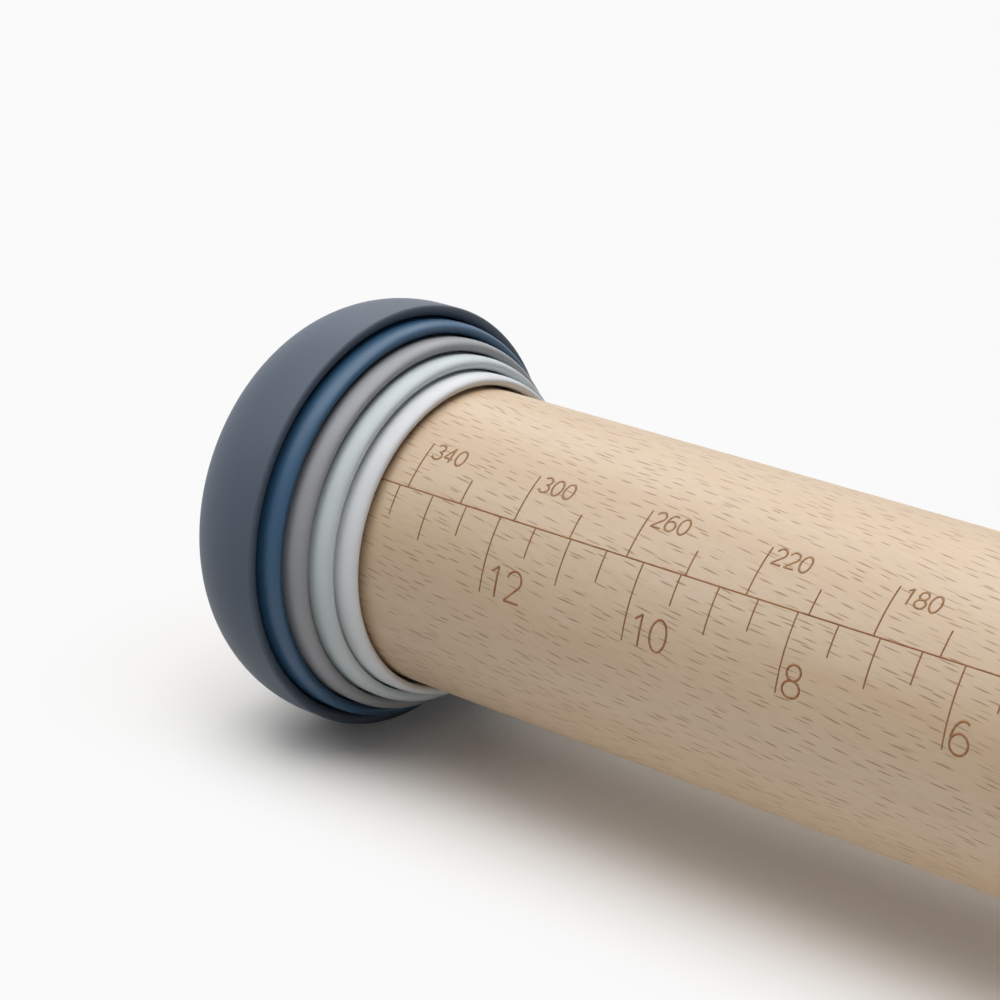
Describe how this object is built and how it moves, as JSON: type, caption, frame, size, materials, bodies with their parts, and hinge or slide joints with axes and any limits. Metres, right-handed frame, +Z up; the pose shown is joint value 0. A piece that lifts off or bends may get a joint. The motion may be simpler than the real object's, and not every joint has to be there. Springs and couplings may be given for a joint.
{
  "type": "adjustable rolling pin",
  "caption": "Beech rolling pin with nested coloured thickness rings on both ends, clamped by screw-in end caps, and a measuring scale along the barrel.",
  "frame": {"origin": "middle of the barrel, on its axis", "axes": "+X along the barrel towards the right-hand end, +Z up; the pin lies on its two outermost rings, 32.5 mm under the axis"},
  "size_m": [0.422, 0.065, 0.065],
  "materials": {
    "beech": "sanded, oiled beech with short dark pores",
    "white_plastic": "satin moulded plastic, near white",
    "green_plastic": "satin moulded plastic, pale grey green",
    "grey_plastic": "satin moulded plastic, warm grey",
    "blue_plastic": "satin moulded plastic, denim blue",
    "slate_plastic": "satin moulded plastic, slate grey",
    "natural_nylon": "natural nylon, slightly waxy",
    "dark_nylon": "dark glass-filled nylon"
  },
  "bodies": {
    "barrel": {"barrel": "beech", "left_screw_socket": "natural_nylon", "right_screw_socket": "natural_nylon"},
    "left_ring_2mm": {"left_ring_2mm": "white_plastic"},
    "left_ring_4mm": {"left_ring_4mm": "green_plastic"},
    "left_ring_6mm": {"left_ring_6mm": "grey_plastic"},
    "left_ring_8mm": {"left_ring_8mm": "blue_plastic"},
    "left_ring_10mm": {"left_ring_10mm": "slate_plastic"},
    "left_washer": {"left_thrust_washer": "natural_nylon"},
    "left_cap": {"left_hand_screw": "dark_nylon", "left_end_cap": "slate_plastic"},
    "right_ring_2mm": {"right_ring_2mm": "white_plastic"},
    "right_ring_4mm": {"right_ring_4mm": "green_plastic"},
    "right_ring_6mm": {"right_ring_6mm": "grey_plastic"},
    "right_ring_8mm": {"right_ring_8mm": "blue_plastic"},
    "right_ring_10mm": {"right_ring_10mm": "slate_plastic"},
    "right_washer": {"right_thrust_washer": "natural_nylon"},
    "right_cap": {"right_hand_screw": "dark_nylon", "right_end_cap": "slate_plastic"}
  },
  "joints": [
    {"name": "left_ring_2mm_pull", "type": "slide", "parent": "barrel", "child": "left_ring_2mm", "axis": [-1, 0, 0], "range_m": [0, 0.012]},
    {"name": "left_ring_4mm_pull", "type": "slide", "parent": "left_ring_2mm", "child": "left_ring_4mm", "axis": [-1, 0, 0], "range_m": [0, 0.012]},
    {"name": "left_ring_6mm_pull", "type": "slide", "parent": "left_ring_4mm", "child": "left_ring_6mm", "axis": [-1, 0, 0], "range_m": [0, 0.012]},
    {"name": "left_ring_8mm_pull", "type": "slide", "parent": "left_ring_6mm", "child": "left_ring_8mm", "axis": [-1, 0, 0], "range_m": [0, 0.012]},
    {"name": "left_ring_10mm_pull", "type": "slide", "parent": "left_ring_8mm", "child": "left_ring_10mm", "axis": [-1, 0, 0], "range_m": [0, 0.012]},
    {"name": "left_cap_travel", "type": "slide", "parent": "left_ring_10mm", "child": "left_washer", "axis": [-1, 0, 0], "range_m": [0, 0.025]},
    {"name": "left_cap_turn", "type": "hinge", "parent": "left_washer", "child": "left_cap", "pos_m": [-0.2004, 0, 0], "axis": [-1, 0, 0], "range_deg": [0, 1800]},
    {"name": "right_ring_2mm_pull", "type": "slide", "parent": "barrel", "child": "right_ring_2mm", "axis": [1, 0, 0], "range_m": [0, 0.012]},
    {"name": "right_ring_4mm_pull", "type": "slide", "parent": "right_ring_2mm", "child": "right_ring_4mm", "axis": [1, 0, 0], "range_m": [0, 0.012]},
    {"name": "right_ring_6mm_pull", "type": "slide", "parent": "right_ring_4mm", "child": "right_ring_6mm", "axis": [1, 0, 0], "range_m": [0, 0.012]},
    {"name": "right_ring_8mm_pull", "type": "slide", "parent": "right_ring_6mm", "child": "right_ring_8mm", "axis": [1, 0, 0], "range_m": [0, 0.012]},
    {"name": "right_ring_10mm_pull", "type": "slide", "parent": "right_ring_8mm", "child": "right_ring_10mm", "axis": [1, 0, 0], "range_m": [0, 0.012]},
    {"name": "right_cap_travel", "type": "slide", "parent": "right_ring_10mm", "child": "right_washer", "axis": [1, 0, 0], "range_m": [0, 0.025]},
    {"name": "right_cap_turn", "type": "hinge", "parent": "right_washer", "child": "right_cap", "pos_m": [0.2004, 0, 0], "axis": [1, 0, 0], "range_deg": [0, 1800]}
  ],
  "couplings": [
    {"joint": "left_cap_travel", "follows": "left_cap_turn", "m_per_rad": 0.00079577},
    {"joint": "right_cap_travel", "follows": "right_cap_turn", "m_per_rad": 0.00079577}
  ]
}
